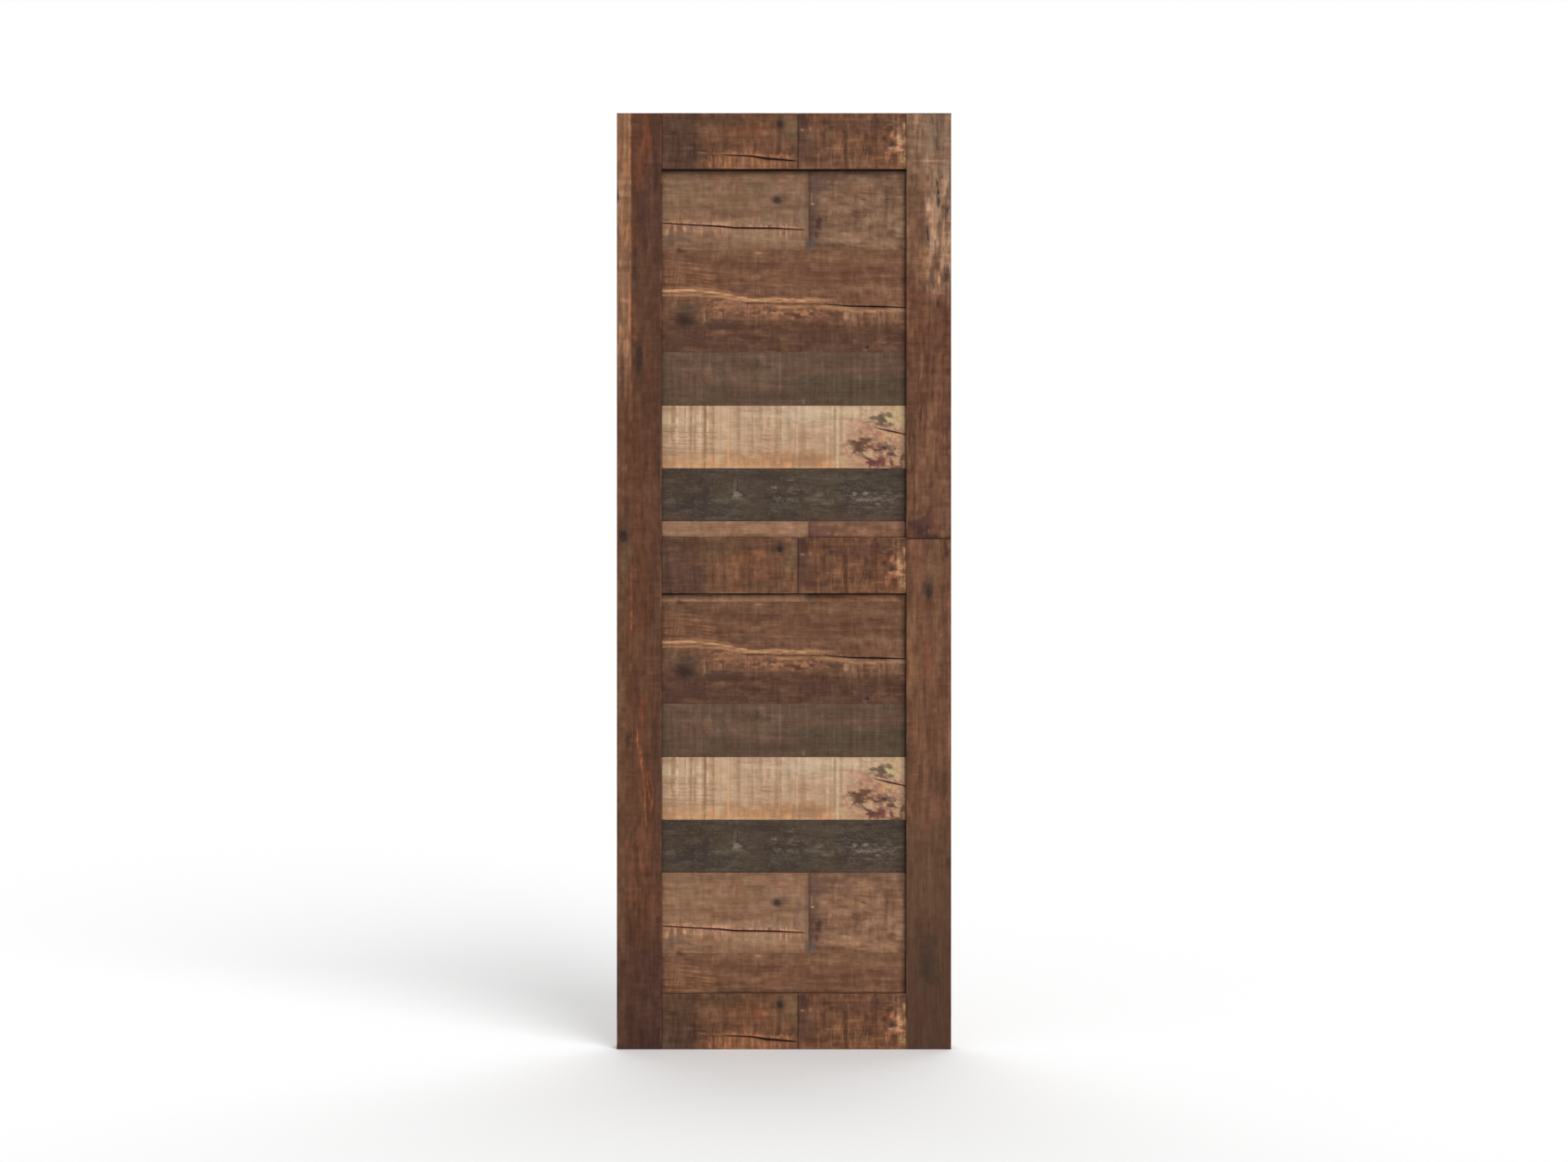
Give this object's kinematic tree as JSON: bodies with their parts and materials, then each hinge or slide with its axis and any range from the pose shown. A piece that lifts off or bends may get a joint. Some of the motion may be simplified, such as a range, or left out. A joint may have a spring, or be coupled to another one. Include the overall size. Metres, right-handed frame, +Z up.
{
  "type": "weathered wooden door",
  "caption": "Weathered barn style door leaf: level tongue and groove planks of mixed reclaimed wood held between a front and a back frame of flat boards.",
  "frame": {"origin": "middle of the bottom edge of the leaf, halfway through its thickness", "axes": "+Z up the leaf, +X to the right as seen from the front, -Y out of the front face"},
  "size_m": [0.762, 0.0444, 2.134],
  "materials": {
    "frame_wood": "reclaimed red brown board with saw marks, knots and worn edges",
    "pieced_wood": "reclaimed tan board, split and smudged",
    "brown_wood": "reclaimed brown board with knots and a light split",
    "grey_wood": "reclaimed grey brown board with saw marks",
    "pale_wood": "reclaimed pale board with upright streaks and a knot",
    "charcoal_wood": "reclaimed charcoal board with pale specks",
    "back_wood": "plain weathered board",
    "screw_steel": "dull steel browned by rust"
  },
  "bodies": {
    "root": {"plank_01": "charcoal_wood", "plank_02_left": "pieced_wood", "plank_02_right": "pieced_wood", "plank_03": "brown_wood", "plank_04": "grey_wood", "plank_05": "pale_wood", "plank_06": "charcoal_wood", "plank_07_left": "pieced_wood", "plank_07_right": "pieced_wood", "plank_08": "brown_wood", "plank_09": "grey_wood", "plank_10": "pale_wood", "plank_11": "charcoal_wood", "plank_12_left": "pieced_wood", "plank_12_right": "pieced_wood", "plank_13": "brown_wood", "front_stile_left": "frame_wood", "front_stile_right_upper": "frame_wood", "front_stile_right_lower": "frame_wood", "front_rail_top_left": "frame_wood", "front_rail_top_right": "frame_wood", "front_rail_middle_left": "frame_wood", "front_rail_middle_right": "frame_wood", "front_rail_bottom_left": "frame_wood", "front_rail_bottom_right": "frame_wood", "back_stile_left": "back_wood", "back_stile_right": "back_wood", "back_rail_top": "back_wood", "back_rail_middle": "back_wood", "back_rail_bottom": "back_wood", "screws": "screw_steel"}
  },
  "joints": []
}
